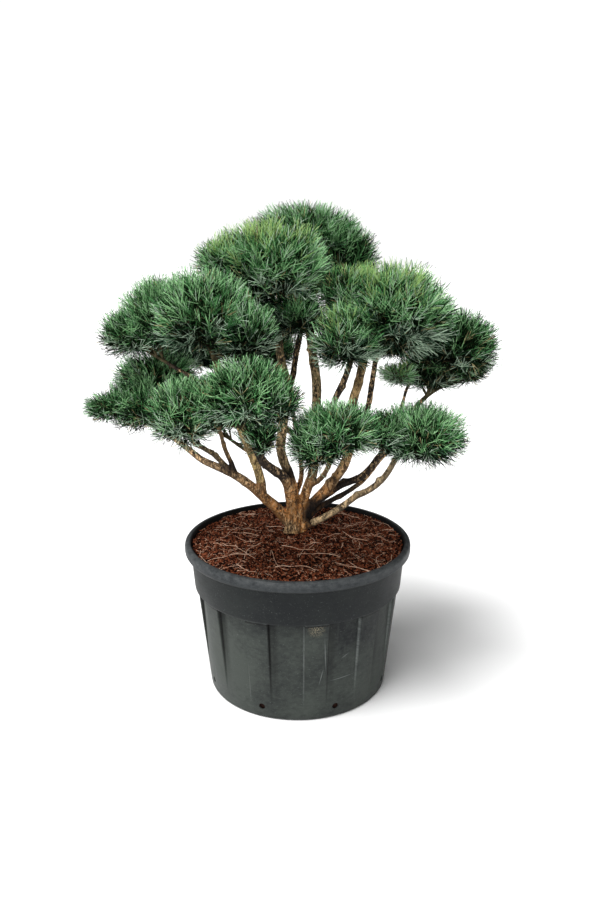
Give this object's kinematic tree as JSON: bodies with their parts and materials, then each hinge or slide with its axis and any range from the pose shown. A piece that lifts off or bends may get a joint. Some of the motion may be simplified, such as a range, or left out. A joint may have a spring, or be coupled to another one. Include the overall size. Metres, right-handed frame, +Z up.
{
  "type": "potted watereri scots pine",
  "caption": "Cloud-pruned dwarf Scots pine with several stems in a round fluted nursery pot of bark mulch.",
  "frame": {"origin": "centre of the pot's flat underside", "axes": "+Z up along the pot's axis, -Y towards the side that the picture shows"},
  "size_m": [1.573, 1.3074, 1.8569],
  "materials": {
    "pot_plastic": "satin",
    "bark_mulch": "matte",
    "pine_bark": "matte",
    "pine_needles": "matte"
  },
  "bodies": {
    "root": {"bough_back_left": "pine_bark", "bough_back_low_left": "pine_bark", "bough_back_low_right": "pine_bark", "bough_back_thin": "pine_bark", "bough_centre": "pine_bark", "bough_crown_dark": "pine_bark", "bough_front": "pine_bark", "bough_front_centre": "pine_bark", "bough_left_front": "pine_bark", "bough_left_high": "pine_bark", "bough_left_inner": "pine_bark", "bough_left_low": "pine_bark", "bough_left_outer": "pine_bark", "bough_right_back": "pine_bark", "bough_right_fork": "pine_bark", "bough_right_high": "pine_bark", "bough_right_inner": "pine_bark", "bough_right_low": "pine_bark", "bough_right_outer": "pine_bark", "bough_tall": "pine_bark", "foliage_back_left": "pine_needles", "foliage_back_low_left": "pine_needles", "foliage_back_low_right": "pine_needles", "foliage_back_right": "pine_needles", "foliage_centre_back": "pine_needles", "foliage_crown_back": "pine_needles", "foliage_crown_front": "pine_needles", "foliage_front_centre": "pine_needles", "foliage_front_left": "pine_needles", "foliage_left_lower": "pine_needles", "foliage_left_upper_inner": "pine_needles", "foliage_left_upper_outer": "pine_needles", "foliage_right_fork": "pine_needles", "foliage_right_lower": "pine_needles", "foliage_right_outer": "pine_needles", "foliage_right_upper": "pine_needles", "pot": "pot_plastic", "soil": "bark_mulch", "trunk": "pine_bark"}
  },
  "joints": []
}
